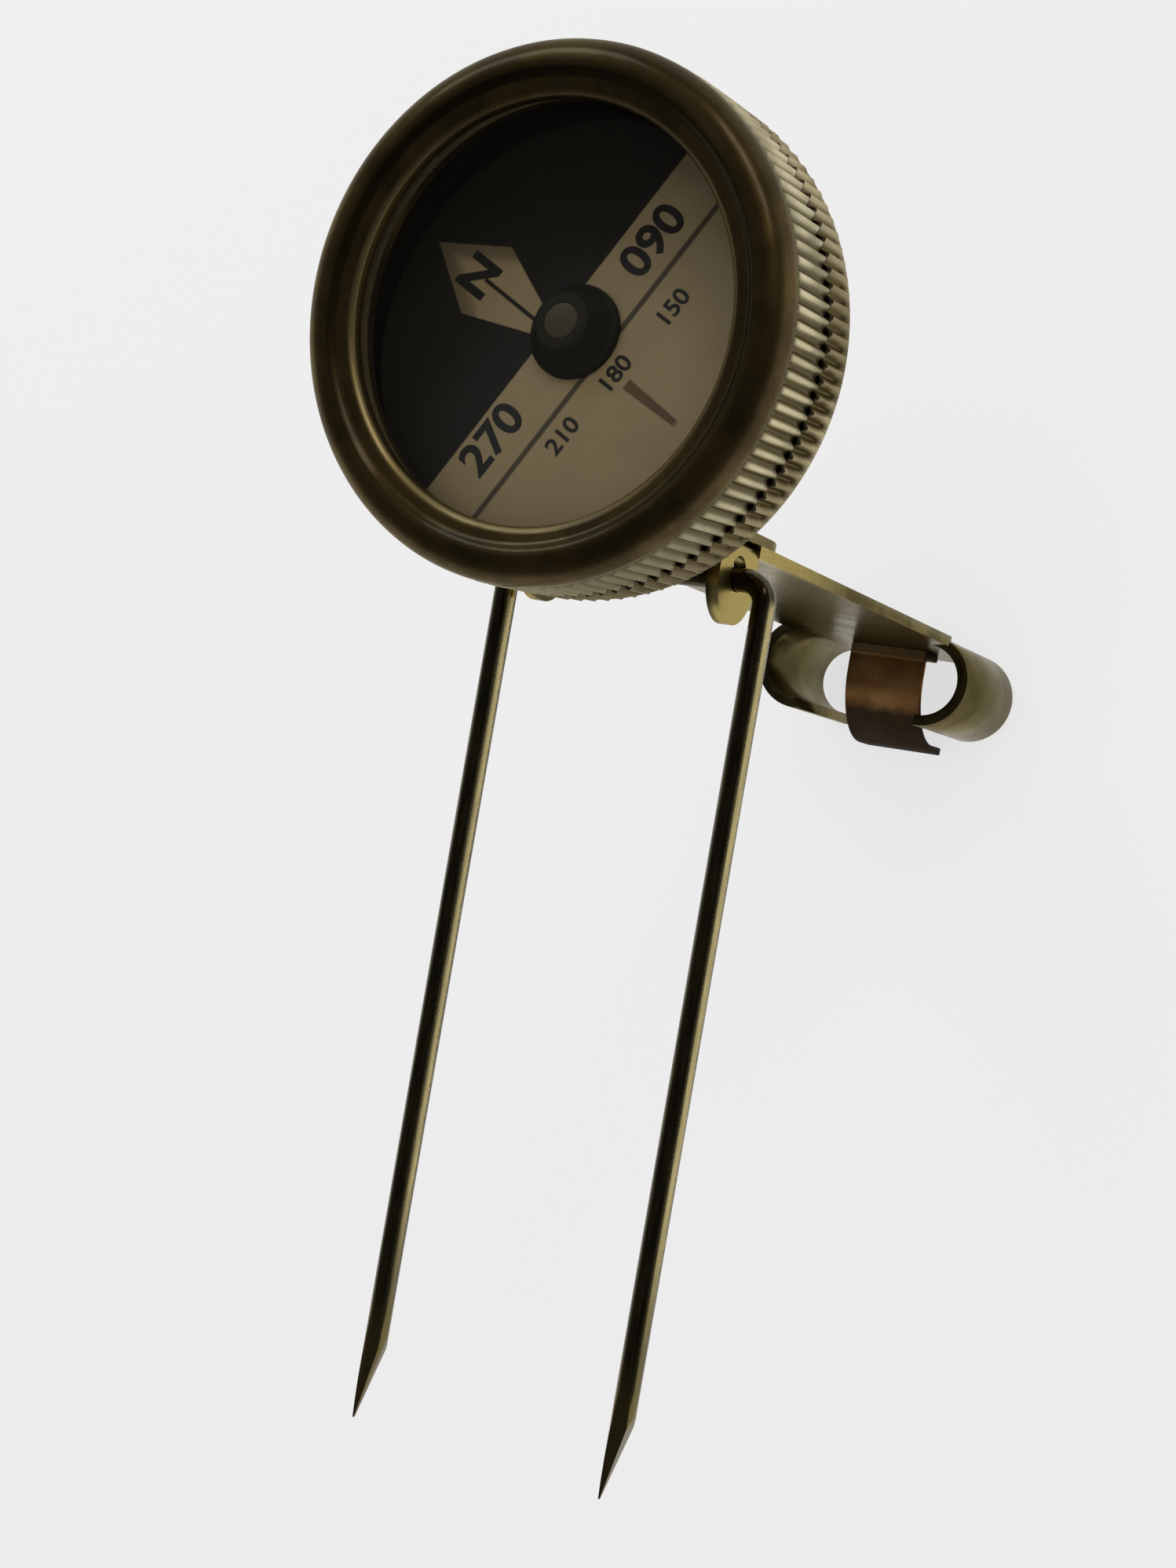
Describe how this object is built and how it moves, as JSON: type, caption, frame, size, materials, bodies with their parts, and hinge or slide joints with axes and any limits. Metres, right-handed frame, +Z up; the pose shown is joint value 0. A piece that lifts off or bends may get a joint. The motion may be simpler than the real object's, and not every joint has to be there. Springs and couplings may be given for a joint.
{
  "type": "clip-on compass",
  "caption": "Small brass compass in a knurled screw case, held square to a strap clip with a rolled catch and a hinged double pin.",
  "frame": {"origin": "point on the strap's garment face, on the middle plane, 22 mm down the strap from the pin's axis", "axes": "+X along the double pin's hinge, +Y from the garment towards the case, +Z up and out of the dial"},
  "size_m": [0.03, 0.0824, 0.0713],
  "materials": {
    "strap_brass": "tarnished",
    "copper": "tarnished copper tone",
    "bracket_brass": "tarnished",
    "case_brass": "worn bright ridges",
    "boss_brass": "turned",
    "steel": "ground",
    "card": "printed matt",
    "washer": "matt",
    "magnet": "dark",
    "hub": "matt dark",
    "disc_brass": "dull",
    "jewel": "polished",
    "bezel_brass": "dark antique",
    "crystal": "clear",
    "gasket": "matt",
    "ring_brass": "turned",
    "wire_brass": "drawn, dark"
  },
  "bodies": {
    "clip": {"clip_strap": "strap_brass", "spring_tongue": "copper", "case_bracket": "bracket_brass", "rear_case": "case_brass", "pivot_boss": "boss_brass", "pivot_needle": "steel"},
    "pin": {"double_pin": "wire_brass"},
    "magnet": {"magnet_bar": "magnet", "dial_hub": "hub", "hub_disc": "disc_brass", "pivot_jewel": "jewel", "friction_washer": "washer"},
    "card": {"dial_card": "card"},
    "glass": {"crystal": "crystal", "crystal_gasket": "gasket", "clamp_ring": "ring_brass"},
    "bezel": {"bezel_ring": "bezel_brass"}
  },
  "joints": [
    {"name": "pin_swing", "type": "hinge", "parent": "clip", "child": "pin", "pos_m": [0, -0.00022, 0.02207], "axis": [1, 0, 0], "range_deg": [-70, 81]},
    {"name": "dial_turn", "type": "hinge", "parent": "clip", "child": "magnet", "pos_m": [0, 0.01205, 0.03499], "axis": [0, 0.1564, 0.9877], "continuous": true},
    {"name": "declination_set", "type": "hinge", "parent": "magnet", "child": "card", "pos_m": [0, 0.01205, 0.03499], "axis": [0, 0.1564, 0.9877], "range_deg": [-30, 30]},
    {"name": "bezel_lift", "type": "slide", "parent": "clip", "child": "glass", "axis": [0, 0, 1], "range_m": [0, 0.0024]},
    {"name": "bezel_turn", "type": "hinge", "parent": "glass", "child": "bezel", "pos_m": [0, 0.01205, 0.03304], "axis": [0, 0, 1], "range_deg": [0, 1080]}
  ],
  "couplings": [
    {"joint": "bezel_lift", "follows": "bezel_turn", "m_per_rad": 0.00012732}
  ]
}
